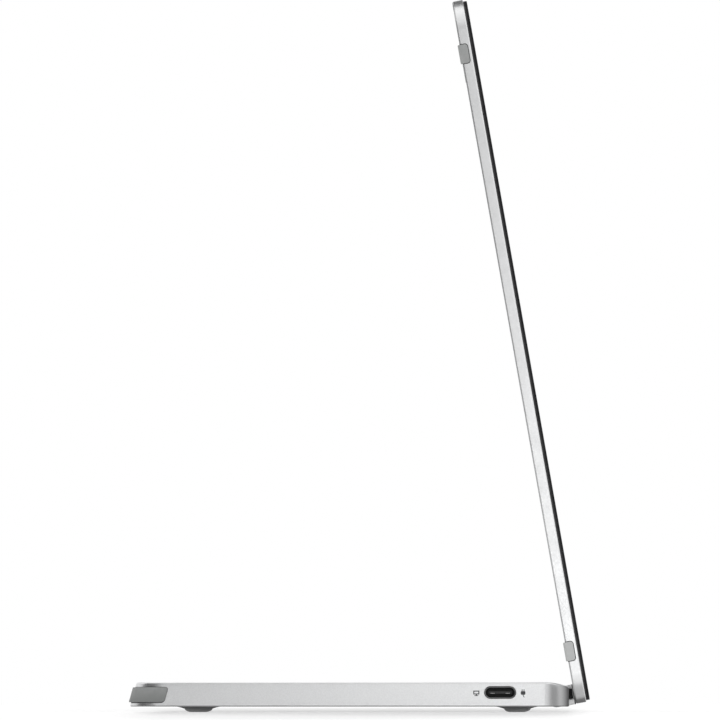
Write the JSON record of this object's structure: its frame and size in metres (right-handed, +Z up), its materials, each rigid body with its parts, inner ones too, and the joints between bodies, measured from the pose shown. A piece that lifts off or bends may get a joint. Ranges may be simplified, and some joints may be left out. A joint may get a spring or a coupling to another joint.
{
  "type": "portable monitor",
  "caption": "Slim aluminium monitor with a black glass screen, hinged by a bar to a flat weighted base that folds against its back.",
  "frame": {"origin": "on the desk, under the middle of the unit's box", "axes": "+X to the right of a person at the screen, +Y from the screen side to the free end of the base, +Z up"},
  "size_m": [0.3132, 0.1357, 0.2103],
  "materials": {
    "case_aluminium": "satin bead-blasted",
    "foot_rubber": "matt",
    "edge_rubber": "matt",
    "circuit_board": "solder mask",
    "black_plastic": "matt",
    "ribbon_plastic": "film",
    "socket_steel": "drawn",
    "hinge_steel": "turned",
    "cable_sheath": "matt",
    "cover_glass": "glossy, printed black behind",
    "screen_glass": "dark screen",
    "light_guide": "diffusing"
  },
  "bodies": {
    "base": {"base_shell": "case_aluminium", "base_bottom_plate": "case_aluminium", "front_foot_strip": "foot_rubber", "rear_foot_strip": "foot_rubber", "left_end_bumper": "edge_rubber", "right_end_bumper": "edge_rubber", "main_board": "circuit_board", "port_board": "circuit_board", "board_ribbon": "ribbon_plastic", "board_chips": "black_plastic", "board_connectors": "black_plastic", "board_shield": "socket_steel", "left_usb_c_shell": "socket_steel", "left_usb_c_tongue": "black_plastic", "right_usb_c_shell": "socket_steel", "right_usb_c_tongue": "black_plastic", "side_switches": "black_plastic", "rocker_pin": "hinge_steel", "left_hinge_bracket": "hinge_steel", "right_hinge_bracket": "hinge_steel", "left_hinge_shaft": "hinge_steel", "right_hinge_shaft": "hinge_steel", "base_cable": "cable_sheath", "board_screws": "hinge_steel", "bracket_screws": "hinge_steel", "plate_screws": "hinge_steel"},
    "display": {"display_back_cover": "case_aluminium", "front_glass": "cover_glass", "glass_frame": "black_plastic", "lcd_panel": "screen_glass", "backlight_unit": "light_guide", "backlight_led_strip": "light_guide", "panel_tapes": "ribbon_plastic", "panel_driver_board": "circuit_board", "upper_left_pad": "edge_rubber", "upper_right_pad": "edge_rubber", "lower_left_pad": "edge_rubber", "lower_right_pad": "edge_rubber", "hinge_bar": "case_aluminium", "left_bar_cap": "black_plastic", "right_bar_cap": "black_plastic", "left_friction_sleeve": "hinge_steel", "right_friction_sleeve": "hinge_steel", "bar_screws": "hinge_steel", "panel_cable": "cable_sheath"},
    "power_button": {"power_button": "case_aluminium"},
    "brightness_rocker": {"brightness_rocker": "case_aluminium"}
  },
  "joints": [
    {"name": "display_tilt", "type": "hinge", "parent": "base", "child": "display", "pos_m": [0, -0.05792, 0.00453], "axis": [1, 0, 0], "range_deg": [-80, 10]},
    {"name": "power_press", "type": "slide", "parent": "base", "child": "power_button", "axis": [-1, 0, 0], "range_m": [0, 0.0003], "stiffness_N_per_m": 1500},
    {"name": "brightness_rock", "type": "hinge", "parent": "base", "child": "brightness_rocker", "pos_m": [0.1522, -0.00163, 0.0059], "axis": [0, 0, 1], "range_deg": [-1.5, 1.5], "stiffness_Nm_per_rad": 0.3}
  ]
}
